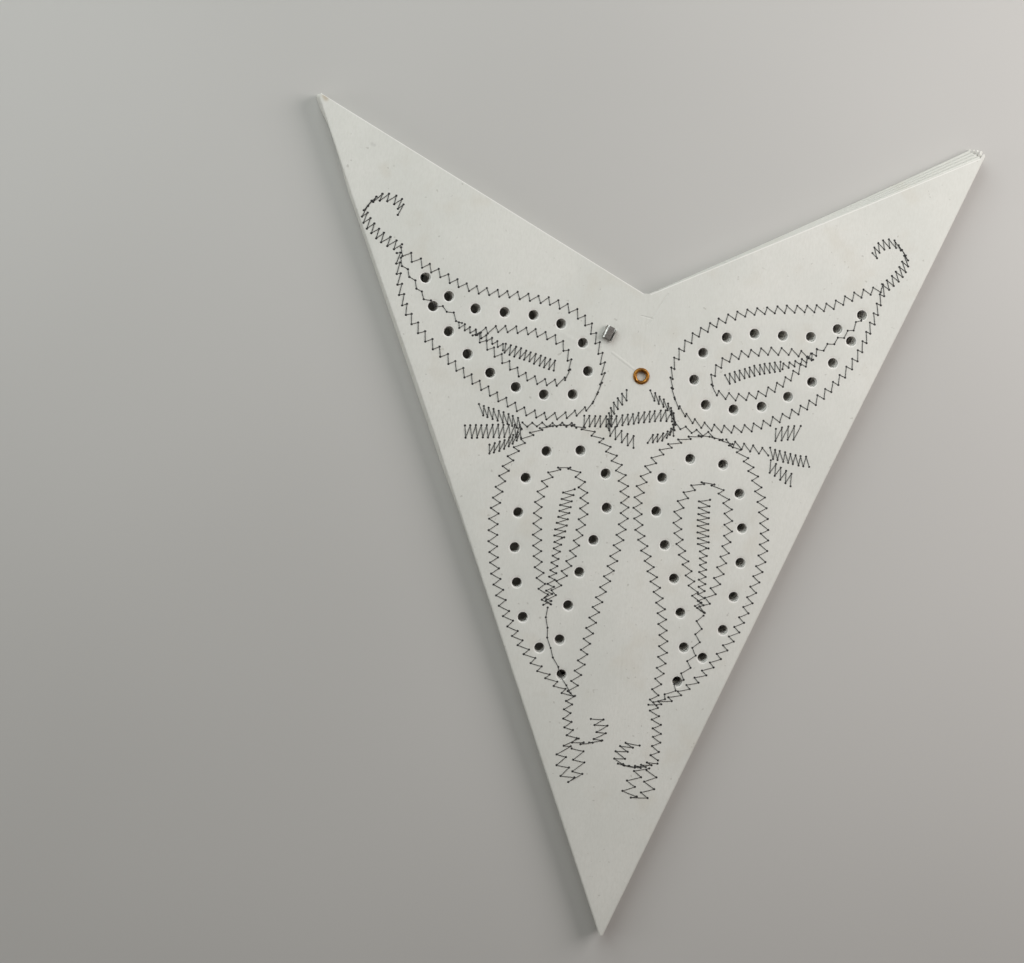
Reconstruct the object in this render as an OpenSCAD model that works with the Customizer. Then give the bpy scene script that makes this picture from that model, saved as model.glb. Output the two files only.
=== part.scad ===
// Paper advent star, folded flat: five hollow card rays stacked like bellows, with a sewn ornament on top.

/* [Ray] */
// Length of a ray's outer fold, from where the two folds would cross to the wing's corner
side_l = 316; // [308:0.5:324]
// Half the angle between the two outer folds
half_angle = 22.4; // [22:0.1:23]
// Distance from where the folds would cross to the notch
notch_l = 231.2; // [228:0.1:234]
// Roundness of the closed tip
tip_r = 1; // [0.8:0.1:1.6]
// How far the paper of the closed tip stops short of the crossing
tip_gap = 1.3; // [1:0.1:1.6]
// How far the joined rays' wing corners stand out past the top ray's
ear_l = 2; // [1:0.1:2.5]

/* [Card] */
// Thickness of the card
card_t = 0.4; // [0.35:0.01:0.42]
// Space between two sheets of card that lie on each other
lay_gap = 0.1; // [0.08:0.01:0.12]
// Depth of a scored crease
score_d = 0.1; // [0.05:0.01:0.15]
// Width of a scored crease
score_w = 0.5; // [0.3:0.05:0.8]

/* [Glue tabs] */
// Width of a glue tab
tab_w = 10; // [7:0.5:12]
// Distance of a tab from the wing's corner
tab_out = 4; // [4:0.5:8]
// Distance of a tab from the notch
tab_in = 6; // [4:0.5:10]
// How far a glued-in edge stays back from the outline, inside its tab
tuck = 1.9; // [1.8:0.1:2.2]

/* [Stack] */
// Number of rays
rays = 5; // [5:1:5]
// Turn of each ray about the closed tips, against the one above
fan = 0.15; // [0.1:0.01:0.16]
// Rise of each ray towards the notch, against the one above
creep = 0.25; // [0.1:0.05:0.3]
// Shift of each ray to the right, against the one above
slip = 0.35; // [0.2:0.05:0.4]

/* [Punched holes] */
// Radius of a hole
hole_r = 1.85; // [1.6:0.05:2]
// Holes round one ornament
hole_n = 15; // [15:1:15]
// How far a hole strays on the sheets below the top one
stray = 0.2; // [0:0.05:0.3]

/* [Eyelet] */
// Distance of the eyelet from the notch
eyelet_in = 29; // [27:0.5:31]
// Inner radius of the barrel
bore_r = 1.65; // [1.5:0.05:1.7]
// Outer radius of the barrel
barrel_r = 1.9; // [1.85:0.05:1.95]
// Radius of the rolled head
head_r = 3; // [2.8:0.05:3.2]
// Radius of the foot below the sheet
foot_r = 2.6; // [2.4:0.05:2.8]
// Thickness of the foot
foot_t = 0.3; // [0.2:0.01:0.35]
// Space between the barrel and the sheet's hole
eyelet_clear = 0.05; // [0.02:0.01:0.1]

/* [Crimp] */
// Length of the rolled metal crimp
crimp_l = 4; // [3.5:0.1:4.5]
// Width of the crimp
crimp_w = 4; // [3.6:0.1:4.4]
// Height of the crimp
crimp_h = 2.3; // [2:0.1:2.6]
// Thickness of its metal
crimp_t = 0.35; // [0.3:0.01:0.4]
// Width of its open seam
crimp_seam = 0.5; // [0.4:0.05:0.7]
// Lean of its axis to the right
crimp_lean = 22; // [15:1:30]

/* [Stitching] */
// Width of the sewing thread
thread_w = 0.34; // [0.3:0.01:0.4]
// Height of the thread above the sheet
thread_h = 0.2; // [0.15:0.01:0.3]

/* [Hidden] */
$fn = 48;
fold_r = card_t * 1.5 + lay_gap;
bend_r = card_t / 2 + lay_gap;
ray_h = 2 * fold_r;
pitch = ray_h + lay_gap;
top_z = (rays - 1) * pitch + ray_h;
leg = 0.5;
wing_x = side_l * sin(half_angle);
wing_y = side_l * cos(half_angle);
edge_a = atan((wing_y - notch_l) / wing_x);
edge_l = norm([wing_x, wing_y - notch_l]);
mid_y = wing_y / 2;
u = [sin(half_angle), cos(half_angle)];
n = [-cos(half_angle), sin(half_angle)];
t = [cos(edge_a), sin(edge_a)];
o = [-sin(edge_a), cos(edge_a)];

// Ornament paths, as [x, y] from the closed tip's paper, for the right-hand side of the sheet.
wing_holes = [[79.5, 229.5], [70.5, 223.5], [60.5, 220], [40, 219.5], [29.5, 217], [21.5, 210.5],
    [19.5, 200], [25.5, 192], [45, 193.5], [63, 204], [76, 219.5], [79.5, 229.5]];
leaf_holes = [[21, 92.5], [30, 102], [36.5, 112.5], [41, 136.5], [39, 161], [33, 171], [21, 173],
    [10.5, 165.5], [9, 153], [17, 130], [22.5, 106], [21, 92.5]];

// Stitch runs: [advance per stitch, swing, direction of the swing, points]. The sheet is steered free-hand
// under a needle that always swings the same way, so the zigzag closes up where a run follows the swing.
runs_left = [
    [1.85, 2.5, 67, [[-89, 238], [-78, 233], [-63, 227], [-46, 226], [-31, 224], [-20.5, 218], [-15, 207],
        [-14, 199], [-18, 188.5], [-29, 184.3], [-42, 185.5], [-59, 194], [-74, 205], [-84, 216], [-88, 228],
        [-89, 238]]],
    [1.8, 2.4, 68, [[-61, 211.5], [-52, 213.5], [-40, 213.5], [-30, 210.5], [-26, 203], [-29, 196.5],
        [-40, 197], [-49, 202], [-61, 211.5]]],
    [0.95, 3.4, 70, [[-50, 207], [-44, 205.5], [-31, 202]]],
    [1.1, 1.8, 65, [[-67, 214], [-60, 211.5], [-50, 207]]],
    [2.3, 1.3, 60, [[-88.5, 235], [-82, 226], [-79, 222], [-70, 218], [-66, 214]]],
    [1.1, 3.2, 62, [[-89, 239], [-97, 243.5], [-101, 250], [-97, 256], [-91, 255.5], [-90, 252]]],
    [1.95, 2.9, 6, [[-17.5, 85], [-14, 98], [-11, 114], [-6.5, 130], [-3, 146], [-3, 159], [-7, 170],
        [-15, 178.5], [-25, 181.5], [-37, 178], [-45, 168], [-48.5, 154], [-49.2, 142], [-47, 126],
        [-41, 110], [-31, 96], [-17.5, 85]]],
    [1.95, 2.7, 4, [[-28, 117], [-31.5, 128], [-33.5, 143], [-33, 157], [-28, 165.5], [-21, 165],
        [-17.5, 156], [-18, 144], [-22, 130], [-28, 117]]],
    [1.1, 3.8, 8, [[-23, 158.5], [-24, 152], [-25.5, 141]]],
    [1.3, 2.4, 6, [[-25.5, 141], [-26.5, 130], [-28, 117]]],
    [3.5, 0.5, 0, [[-28, 116], [-27, 106], [-24.5, 99], [-19.5, 89], [-17, 86]]],
    [1.6, 2.8, 12, [[-17, 85], [-18, 78], [-15.5, 70], [-11, 68.5], [-6.5, 69.5]]],
    [1.3, 4, 16, [[-6.5, 69.5], [-5, 74], [-7.5, 78]]],
    [2, 4, 18, [[-15, 69.5], [-19, 64], [-17.5, 58], [-14, 55], [-12.5, 60], [-13.5, 67]]],
    [0.9, 3.8, 102, [[-57, 184.5], [-49, 182.5], [-42, 180.5]]],
    [1, 4.4, 86, [[-62, 176.3], [-52, 177.2], [-41.5, 178]]],
    [0.9, 3.6, 78, [[-53, 170.5], [-47, 173], [-42, 177]]],
    [1.7, 1.4, 85, [[-41.5, 180.3], [-33, 181], [-22, 181.5]]],
    [1, 3.8, 80, [[-20, 183.3], [-11, 183.8], [-4, 185], [6, 187], [12.5, 187.5]]],
    [0.9, 3, 74, [[-10.7, 181], [-9.5, 188], [-4.5, 194]]],
    [1.2, 3.8, 78, [[-10.5, 181], [-5, 178.5], [-0.5, 177]]],
    [1, 3.2, 104, [[4, 194.5], [10, 191], [13, 187], [13, 182]]],
    [0.9, 3, 72, [[13, 183], [10, 180], [4.5, 178.5]]]
];
runs_right = [
    [1.85, 2.5, 113, [[87, 240], [77, 236.5], [65, 231], [49, 229], [33, 225.5], [18, 216.5], [11.3, 205],
        [13, 193], [22, 185.5], [36, 184.5], [49, 188.5], [65, 197.5], [77, 211.5], [83, 226], [87, 240]]],
    [1.85, 2.5, 112, [[62, 213], [54, 214], [42, 213], [30, 209], [25.7, 201], [30, 196.3], [43, 197.5],
        [53, 203.5], [62, 213]]],
    [0.95, 3.4, 110, [[51, 208.5], [42, 206.5], [31, 202]]],
    [1.1, 1.8, 115, [[64, 215], [60, 211.5], [51, 208.5]]],
    [2.3, 1.4, 118, [[80, 230], [76.5, 224.5], [70, 219], [64, 215]]],
    [1.1, 3.3, 120, [[87, 240], [92, 245.5], [94, 251.5], [90, 256.5], [84.5, 255], [82.5, 251]]],
    [1.95, 2.9, -4, [[12.5, 83.5], [15, 100], [13.5, 117], [9, 131], [3, 147], [2.5, 160], [7, 171.5],
        [16, 179], [28, 181], [39, 175.5], [46, 163], [49, 148], [48, 134], [42.5, 115], [33, 99],
        [21, 87.5], [12.5, 83.5]]],
    [1.95, 2.8, -6, [[27.7, 118], [22.5, 131], [17.5, 145], [17.5, 156], [23, 163.5], [30, 163.5],
        [35, 156], [35.3, 142], [32.5, 128], [27.7, 118]]],
    [1.1, 4, -3, [[26.3, 158.5], [26.3, 150], [27, 141]]],
    [1.3, 2.4, -5, [[27, 141], [27.5, 130], [27.5, 118]]],
    [2.5, 2.2, -5, [[27.7, 117], [27, 107], [24.5, 98], [20, 90], [14, 84.5]]],
    [1.6, 3, -6, [[13, 83], [15, 74], [14.5, 64]]],
    [1.1, 3, -8, [[14.5, 63], [8, 61], [2, 62]]],
    [1.3, 4, -16, [[2, 62], [3, 67], [7, 69.5]]],
    [2.1, 4, -4, [[11, 61], [7.5, 56.5], [6, 52], [9.5, 50], [13, 52.5], [14, 60]]],
    [2, 1.8, 100, [[13.5, 184.5], [19, 183], [28, 181.5]]],
    [1.7, 2.6, 108, [[33, 179.5], [40, 178.3], [48, 177.3]]],
    [1.2, 5, 78, [[50, 183.5], [54, 184.5], [59, 185]]],
    [1, 3.6, 96, [[49, 177], [56, 175.5], [63.5, 174.7]]],
    [1.1, 4, 76, [[49, 172.5], [54, 169.5], [58, 167.5]]]
];

// A point beside the wing's corner: along the outer fold, and in from it.
function corner(a, b) = [wing_x, wing_y] + a * u + b * n;
// A point beside the glued edge: from the notch along it, and out from it.
function edge(a, b) = [0, notch_l] + a * t + b * o;
// A list's points mirrored to the left-hand side, in the opposite order.
function left(p) = [for (i = [len(p) - 1:-1:0]) [-p[i].x, p[i].y]];

// The smooth curve through a list of points, as short straight steps.
function bend(a, b, c, d, s) = ((2 * b) + (c - a) * s + (2 * a - 5 * b + 4 * c - d) * s * s
    + (3 * b - a - 3 * c + d) * s * s * s) / 2;
function curve(p) = concat([for (i = [0:len(p) - 2], j = [0:7])
    bend(p[max(i - 1, 0)], p[i], p[i + 1], p[min(i + 2, len(p) - 1)], j / 8)], [p[len(p) - 1]]);
function run_length(p) = [for (i = 0, s = 0; i < len(p);
    s = s + (i + 1 < len(p) ? norm(p[i + 1] - p[i]) : 0), i = i + 1) s];
function along(p, s, a) = [lookup(a, [for (i = [0:len(p) - 1]) [s[i], p[i].x]]),
    lookup(a, [for (i = [0:len(p) - 1]) [s[i], p[i].y]])];

// Points at equal steps round a closed path of holes.
function holes_on(path) = let (p = curve(path), s = run_length(p), all = s[len(s) - 1])
    [for (i = [0:hole_n - 1]) along(p, s, all * i / hole_n)];

// The needle's points of one run: they swing to each side of the path in turn.
function needle(run) = let (p = curve(run[3]), s = run_length(p), all = s[len(s) - 1],
    k = max(2, round(all / run[0])))
    [for (i = [0:k]) along(p, s, all * i / k)
        + (i % 2 == 0 ? 0.5 : -0.5) * run[1] * [cos(run[2]), sin(run[2])]];

// The thread's side from one needle point to the next, mitred with the stitches before and after.
function mitre(q, i) = let (
    a = i == 0 ? q[1] - q[0] : q[i] - q[i - 1], b = i == len(q) - 1 ? a : q[i + 1] - q[i],
    e = a / norm(a), f = b / norm(b), m = [-e.y - f.y, e.x + f.x], c = max(norm(m), 1))
    thread_w / c / c * m;

// The cutter for a ray's closed tip, wing corners and open edges, on its right-hand half.
function cutter(ear) = let (c = tip_r / sin(half_angle)) concat(
    [[0, c - tip_r]], [for (a = [25, 50]) [tip_r * sin(a), c - tip_r * cos(a)]],
    [[tip_r * sin(50) + 3 * cos(50), c - tip_r * cos(50) + 3 * sin(50)]],
    ear > 0 ? [corner(ear - 2, -0.8), corner(ear - 0.5, 0.6), corner(ear, 1.6), corner(ear, 2.6),
        corner(ear - 0.8, 3.4), edge(edge_l - tab_out + 1, 0)]
        : [corner(-2.2, -0.7), corner(-0.9, 0.3), corner(-0.8, 0.6)],
    [edge(1.5, 0), [0, edge(1.5, 0).y]]);

// The cross-section of a hairpin fold of card, open to the left.
module hairpin() {
    difference() {
        circle(r = fold_r);
        circle(r = bend_r);
        translate([-2 * fold_r, -2 * fold_r]) square([2 * fold_r, 4 * fold_r]);
    }
    for (z = [bend_r, -fold_r]) translate([-leg, z]) square([leg, card_t]);
}

// The fold down a ray's right-hand side, from the closed tip to past the wing's corner.
module side_fold(ear) {
    intersection() {
        rotate(-half_angle) translate([-fold_r, side_l + 6, fold_r]) rotate([90, 0, 0])
            linear_extrude(side_l + 10) hairpin();
        translate([0, 0, -1]) linear_extrude(ray_h + 2) polygon(cutter(ear));
    }
}

// A glue tab on the right-hand open edge: it bends up round the ray above and lies inside it.
module tab() {
    long = edge_l - tab_in - tab_out;
    translate([0, notch_l, 0]) rotate(edge_a) translate([tab_in, -fold_r, 0]) {
        translate([0, 0, ray_h - card_t + fold_r]) rotate([90, 0, 90]) linear_extrude(long) hairpin();
        translate([0, 0, ray_h - card_t + 2 * fold_r - card_t]) linear_extrude(card_t)
            polygon([[0, -leg / 2], [long, -leg / 2], [long - tab_w, -tab_w], [3, -tab_w]]);
    }
}

// The punched holes of one sheet: two ornaments a side, strayed a little on the lower sheets.
module punched(sheet) {
    far = sheet == 0 ? 0 : stray;
    drift = rands(-far, far, 8 * hole_n, 7 + sheet);
    for (side = [-1, 1], k = [0, 1]) {
        p = holes_on(k == 0 ? wing_holes : leaf_holes);
        for (i = [0:hole_n - 1]) let (j = i + hole_n * (k + side + 1))
            translate([side * p[i].x + drift[j], p[i].y + tip_gap + drift[j + 4 * hole_n]]) circle(r = hole_r);
    }
}

// One flat sheet of a ray, with its open edges kept in by a distance.
module sheet(keep, number) {
    inset = fold_r + leg / 2;
    y = notch_l - keep / cos(edge_a);
    k = notch_l * cos(edge_a) - keep;
    far = [(k * sin(half_angle) - inset * cos(edge_a)), (k * cos(half_angle) - inset * sin(edge_a))]
        / cos(half_angle + edge_a);
    p = [[0, inset / sin(half_angle)], far, [0, y]];
    linear_extrude(card_t) difference() {
        polygon([p[0], p[1], p[2], [-p[1].x, p[1].y]]);
        punched(number);
        if (number == 0) translate([0, notch_l - eyelet_in]) circle(r = barrel_r + eyelet_clear);
    }
}

// One ray: a sheet above and a sheet below, joined by the folds down both sides.
module ray(k) {
    ear = k == 1 ? 0 : ear_l;
    difference() {
        union() {
            intersection() {
                union() {
                    translate([0, 0, ray_h - card_t]) sheet(k == 1 ? -1 : fold_r + leg / 2, 2 * k - 2);
                    sheet(k == rays ? -1 : tuck, 2 * k - 1);
                }
                translate([0, 0, -1]) linear_extrude(ray_h + 2)
                    polygon(concat(cutter(ear), left(cutter(ear))));
            }
            for (m = [0, 1]) mirror([m, 0, 0]) {
                side_fold(ear);
                if (k > 1) tab();
            }
        }
        for (z = [-1, ray_h - score_d]) translate([-score_w / 2, tip_gap + 12, z])
            cube([score_w, notch_l, 1 + (z < 0 ? score_d : 0)]);
    }
}

// A ray at its place in the stack: each one below is turned, pushed up and shifted a little.
module placed(k) {
    translate([(k - 1) * slip, (k - 1) * creep - mid_y, (rays - k) * pitch]) rotate((k - 1) * fan) ray(k);
}

module ray_1() { color([0.83, 0.84, 0.82]) placed(1); }
module ray_2() { color([0.8, 0.81, 0.8]) placed(2); }
module ray_3() { color([0.83, 0.84, 0.82]) placed(3); }
module ray_4() { color([0.8, 0.81, 0.8]) placed(4); }
module ray_5() { color([0.83, 0.84, 0.82]) placed(5); }

// The brass eyelet: a rolled head on the sheet, a barrel through it and a foot pressed flat below.
module cord_eyelet() {
    roll = (head_r - bore_r) / 2;
    color([0.62, 0.45, 0.2]) translate([0, notch_l - eyelet_in - mid_y, top_z]) rotate_extrude($fn = 64) {
        intersection() {
            translate([bore_r + roll, 0]) circle(r = roll);
            translate([bore_r + 0.02, 0]) square([2 * roll, roll + 1]);
        }
        translate([bore_r, -card_t - foot_t]) square([barrel_r - bore_r, card_t + foot_t + roll / 2]);
        translate([bore_r, -card_t - foot_t]) square([foot_r - bore_r, foot_t]);
    }
}

// The crimp: a strip of tinned steel rolled to a flat tube, with its seam open near the right.
module metal_crimp() {
    r = crimp_h / 2;
    in = crimp_w / 2 - r;
    color([0.7, 0.7, 0.72]) translate([-12.8, tip_gap + 215.2 - mid_y, top_z + r])
        rotate(-crimp_lean) rotate([90, 0, 0]) linear_extrude(crimp_l, center = true) difference() {
            union() {
                for (s = [-1, 1]) translate([s * in, 0]) circle(r = r);
                square([2 * in, 2 * r], center = true);
            }
            for (s = [-1, 1]) translate([s * in, 0]) circle(r = r - crimp_t);
            square([2 * in, 2 * (r - crimp_t)], center = true);
            translate([in + 0.1, 0]) square([crimp_seam, 2 * r]);
        }
}

// The sewing thread of the top sheet's ornaments, lying on the sheet, one strip a stitch.
module stitching() {
    color([0.12, 0.12, 0.12]) translate([0, tip_gap - mid_y, top_z]) linear_extrude(thread_h)
        offset(delta = 0.01) for (run = concat(runs_left, runs_right)) {
            q = needle(run);
            for (i = [0:len(q) - 2]) let (a = mitre(q, i), b = mitre(q, i + 1))
                polygon([q[i] - a, q[i + 1] - b, q[i + 1] + b, q[i] + a]);
        }
}

ray_1();
ray_2();
ray_3();
ray_4();
ray_5();
cord_eyelet();
metal_crimp();
stitching();
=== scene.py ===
# %% [markdown]
# # A paper advent star, folded flat
# The star is five hollow rays of white card that lie in one stack like closed bellows. The scene loads
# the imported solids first, so that every piece goes where the solids say. The rays are then folded again
# here from thin sheets, because real card bends, dishes at its punched holes and never lies quite flat.

# %% Load the frame
import math
import random

import bmesh
import bpy
from mathutils import Matrix, Vector, geometry, noise


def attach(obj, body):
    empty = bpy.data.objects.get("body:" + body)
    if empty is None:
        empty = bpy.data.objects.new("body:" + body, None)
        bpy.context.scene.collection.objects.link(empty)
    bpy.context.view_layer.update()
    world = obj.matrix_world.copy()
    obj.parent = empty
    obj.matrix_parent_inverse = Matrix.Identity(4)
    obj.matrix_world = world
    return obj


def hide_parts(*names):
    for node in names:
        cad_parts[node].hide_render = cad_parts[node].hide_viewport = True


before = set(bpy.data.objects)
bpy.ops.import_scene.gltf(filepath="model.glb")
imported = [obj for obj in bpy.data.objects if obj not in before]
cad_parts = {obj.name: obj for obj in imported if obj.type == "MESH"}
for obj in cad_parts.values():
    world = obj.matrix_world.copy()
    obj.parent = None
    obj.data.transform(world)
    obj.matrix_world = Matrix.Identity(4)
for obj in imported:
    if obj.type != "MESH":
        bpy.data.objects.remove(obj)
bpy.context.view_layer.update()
print("frame:", sorted(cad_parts))

# %% [markdown]
# ## Sizes
# All sizes are millimetres. They are the ones of the solids, apart from the tabs' ends and the crimp,
# which are drawn here a little nearer to the real ones. A ray is drawn with the crossing of its two outer
# folds at the origin and its crease up the y axis, and is then turned and pushed into place.

# %% Sizes of the card, the folds and the tabs
SIDE = 316.0               # an outer fold, from where the two would cross to the wing's corner
HALF = math.radians(22.4)  # half the angle between the two outer folds
NOTCH = 231.2              # from that crossing to the notch
TIP_R = 1.0                # roundness of the closed tip
TIP_GAP = 1.3              # how far the paper stops short of the crossing
CARD = 0.4                 # thickness of the card
GAP = 0.1                  # space between two sheets that lie on each other
FOLD_R = CARD * 1.5 + GAP  # outer radius of a hairpin fold
BEND_R = CARD / 2 + GAP    # inner radius of a fold, and of a tab's bend
RAY_H = 2 * FOLD_R         # height of one ray
PITCH = RAY_H + GAP        # from one ray to the next
RAYS = 5
TOP = (RAYS - 1) * PITCH + RAY_H  # height of the whole stack
TAB_W = 10.0               # width of a glue tab
TAB_IN = 6.0               # distance of a tab from the notch
TUCK = 1.9                 # how far a glued-in edge stays back inside its tab
FAN = math.radians(0.15)   # turn of each ray against the one above
CREEP = 0.25               # push of each ray towards the notch, against the one above
SLIP = 0.35                # shift of each ray to the right, against the one above
HOLE_R = 1.85              # radius of a punched hole
HOLE_COUNT = 15            # holes round one paisley
STRAY = 0.2                # how far a hole strays on the sheets below the top one
EYELET_HOLE = 1.95         # radius of the top sheet's hole for the eyelet
EYELET = (0.0, NOTCH - 29.0)
CRIMP = (-12.8, 215.2 + TIP_GAP)

# %% Places on a ray
WING = Vector((SIDE * math.sin(HALF), SIDE * math.cos(HALF)))  # the right wing's sharp corner
MID = WING.y / 2                                               # the height that goes to the frame's middle
EDGE_A = math.atan2(WING.y - NOTCH, WING.x)                    # slope and length of a short edge
EDGE_L = math.hypot(WING.x, WING.y - NOTCH)
ALONG = Vector((math.sin(HALF), math.cos(HALF)))               # along the right outer fold, and in from it
INWARD = Vector((-math.cos(HALF), math.sin(HALF)))
EDGE_T = Vector((math.cos(EDGE_A), math.sin(EDGE_A)))          # along the right short edge, and out from it
EDGE_O = Vector((-math.sin(EDGE_A), math.cos(EDGE_A)))


def corner(a, b):
    """A point a past the right wing's sharp corner along the outer fold, and b in from that fold."""
    return WING + a * ALONG + b * INWARD


def edge(a, b):
    """A point a from the notch along the right short edge, and b out from it."""
    return Vector((0, NOTCH)) + a * EDGE_T + b * EDGE_O


def smooth(x):
    """Rises gently from 0 to 1 as x does, and stays at 0 before and at 1 after."""
    x = min(1.0, max(0.0, x))
    return x * x * (3 - 2 * x)


print(f"a ray is {2 * WING.x:.1f} by {WING.y:.1f} mm, and the stack is {TOP:.1f} mm thick")

# %% [markdown]
# ## The ornament
# Two paisleys lie on each side of the crease, each a ring of fifteen punched holes between two zigzag
# rows. The holes are spaced evenly round a smooth path. The rows are sewn free-hand: the sheet is steered
# under a needle that always swings the same way, so the zigzag closes up where a run follows the swing.
# A run is a step per stitch, the swing, the swing's direction in degrees and a smooth path.

# %% Paths of the holes
WING_HOLES = [(79.5, 229.5), (70.5, 223.5), (60.5, 220), (40, 219.5), (29.5, 217), (21.5, 210.5),
              (19.5, 200), (25.5, 192), (45, 193.5), (63, 204), (76, 219.5), (79.5, 229.5)]
LEAF_HOLES = [(21, 92.5), (30, 102), (36.5, 112.5), (41, 136.5), (39, 161), (33, 171), (21, 173),
              (10.5, 165.5), (9, 153), (17, 130), (22.5, 106), (21, 92.5)]

# %% Runs of the sewing
RUNS = [
    (1.85, 2.5, 67, [(-89, 238), (-78, 233), (-63, 227), (-46, 226), (-31, 224), (-20.5, 218), (-15, 207),
        (-14, 199), (-18, 188.5), (-29, 184.3), (-42, 185.5), (-59, 194), (-74, 205), (-84, 216), (-88, 228),
        (-89, 238)]),
    (1.8, 2.4, 68, [(-61, 211.5), (-52, 213.5), (-40, 213.5), (-30, 210.5), (-26, 203), (-29, 196.5),
        (-40, 197), (-49, 202), (-61, 211.5)]),
    (0.95, 3.4, 70, [(-50, 207), (-44, 205.5), (-31, 202)]),
    (1.1, 1.8, 65, [(-67, 214), (-60, 211.5), (-50, 207)]),
    (2.3, 1.3, 60, [(-88.5, 235), (-82, 226), (-79, 222), (-70, 218), (-66, 214)]),
    (1.1, 3.2, 62, [(-89, 239), (-97, 243.5), (-101, 250), (-97, 256), (-91, 255.5), (-90, 252)]),
    (1.95, 2.9, 6, [(-17.5, 85), (-14, 98), (-11, 114), (-6.5, 130), (-3, 146), (-3, 159), (-7, 170),
        (-15, 178.5), (-25, 181.5), (-37, 178), (-45, 168), (-48.5, 154), (-49.2, 142), (-47, 126),
        (-41, 110), (-31, 96), (-17.5, 85)]),
    (1.95, 2.7, 4, [(-28, 117), (-31.5, 128), (-33.5, 143), (-33, 157), (-28, 165.5), (-21, 165),
        (-17.5, 156), (-18, 144), (-22, 130), (-28, 117)]),
    (1.1, 3.8, 8, [(-23, 158.5), (-24, 152), (-25.5, 141)]),
    (1.3, 2.4, 6, [(-25.5, 141), (-26.5, 130), (-28, 117)]),
    (3.5, 0.5, 0, [(-28, 116), (-27, 106), (-24.5, 99), (-19.5, 89), (-17, 86)]),
    (1.6, 2.8, 12, [(-17, 85), (-18, 78), (-15.5, 70), (-11, 68.5), (-6.5, 69.5)]),
    (1.3, 4, 16, [(-6.5, 69.5), (-5, 74), (-7.5, 78)]),
    (2, 4, 18, [(-15, 69.5), (-19, 64), (-17.5, 58), (-14, 55), (-12.5, 60), (-13.5, 67)]),
    (0.9, 3.8, 102, [(-57, 184.5), (-49, 182.5), (-42, 180.5)]),
    (1, 4.4, 86, [(-62, 176.3), (-52, 177.2), (-41.5, 178)]),
    (0.9, 3.6, 78, [(-53, 170.5), (-47, 173), (-42, 177)]),
    (1.7, 1.4, 85, [(-41.5, 180.3), (-33, 181), (-22, 181.5)]),
    (1, 3.8, 80, [(-20, 183.3), (-11, 183.8), (-4, 185), (6, 187), (12.5, 187.5)]),
    (1.1, 3.2, 110, [(-10.7, 181), (-9.5, 188), (-4.5, 194)]),
    (1.2, 3.8, 78, [(-10.5, 181), (-5, 178.5), (-0.5, 177)]),
    (1, 3.2, 104, [(4, 194.5), (10, 191), (13, 187), (13, 182)]),
    (0.9, 3, 72, [(13, 183), (10, 180), (4.5, 178.5)]),
    (1.85, 2.5, 113, [(87, 240), (77, 236.5), (65, 231), (49, 229), (33, 225.5), (18, 216.5), (11.3, 205),
        (13, 193), (22, 185.5), (36, 184.5), (49, 188.5), (65, 197.5), (77, 211.5), (83, 226), (87, 240)]),
    (1.85, 2.5, 112, [(62, 213), (54, 214), (42, 213), (30, 209), (25.7, 201), (30, 196.3), (43, 197.5),
        (53, 203.5), (62, 213)]),
    (0.95, 3.4, 110, [(51, 208.5), (42, 206.5), (31, 202)]),
    (1.1, 1.8, 115, [(64, 215), (60, 211.5), (51, 208.5)]),
    (2.3, 1.4, 118, [(80, 230), (76.5, 224.5), (70, 219), (64, 215)]),
    (1.1, 3.3, 120, [(87, 240), (92, 245.5), (94, 251.5), (90, 256.5), (84.5, 255), (82.5, 251)]),
    (1.95, 2.9, -4, [(12.5, 83.5), (15, 100), (13.5, 117), (9, 131), (3, 147), (2.5, 160), (7, 171.5),
        (16, 179), (28, 181), (39, 175.5), (46, 163), (49, 148), (48, 134), (42.5, 115), (33, 99),
        (21, 87.5), (12.5, 83.5)]),
    (1.95, 2.8, -6, [(27.7, 118), (22.5, 131), (17.5, 145), (17.5, 156), (23, 163.5), (30, 163.5),
        (35, 156), (35.3, 142), (32.5, 128), (27.7, 118)]),
    (1.1, 4, -3, [(26.3, 158.5), (26.3, 150), (27, 141)]),
    (1.3, 2.4, -5, [(27, 141), (27.5, 130), (27.5, 118)]),
    (2.5, 2.2, -5, [(27.7, 117), (27, 107), (24.5, 98), (20, 90), (14, 84.5)]),
    (1.6, 3, -6, [(13, 83), (15, 74), (14.5, 64)]),
    (1.1, 3, -8, [(14.5, 63), (8, 61), (2, 62)]),
    (1.3, 4, -16, [(2, 62), (3, 67), (7, 69.5)]),
    (2.1, 4, -4, [(11, 61), (7.5, 56.5), (6, 52), (9.5, 50), (13, 52.5), (14, 60)]),
    (2, 1.8, 100, [(13.5, 184.5), (19, 183), (28, 181.5)]),
    (1.7, 2.6, 108, [(33, 179.5), (40, 178.3), (48, 177.3)]),
    (1.2, 5, 78, [(50, 183.5), (54, 184.5), (59, 185)]),
    (1, 3.6, 96, [(49, 177), (56, 175.5), (63.5, 174.7)]),
    (1.1, 4, 76, [(49, 172.5), (54, 169.5), (58, 167.5)]),
]
print(len(RUNS), "runs of sewing")


# %% Smooth paths and the holes along them
def curve(points, steps=8):
    """A smooth curve through the points, as short straight steps."""
    p = [Vector(q) for q in points]
    out = []
    for i in range(len(p) - 1):
        a, b, c, d = p[max(i - 1, 0)], p[i], p[i + 1], p[min(i + 2, len(p) - 1)]
        for j in range(steps):
            s = j / steps
            out.append((2 * b + (c - a) * s + (2 * a - 5 * b + 4 * c - d) * s * s
                        + (3 * b - a - 3 * c + d) * s ** 3) / 2)
    return out + [p[-1]]


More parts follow.
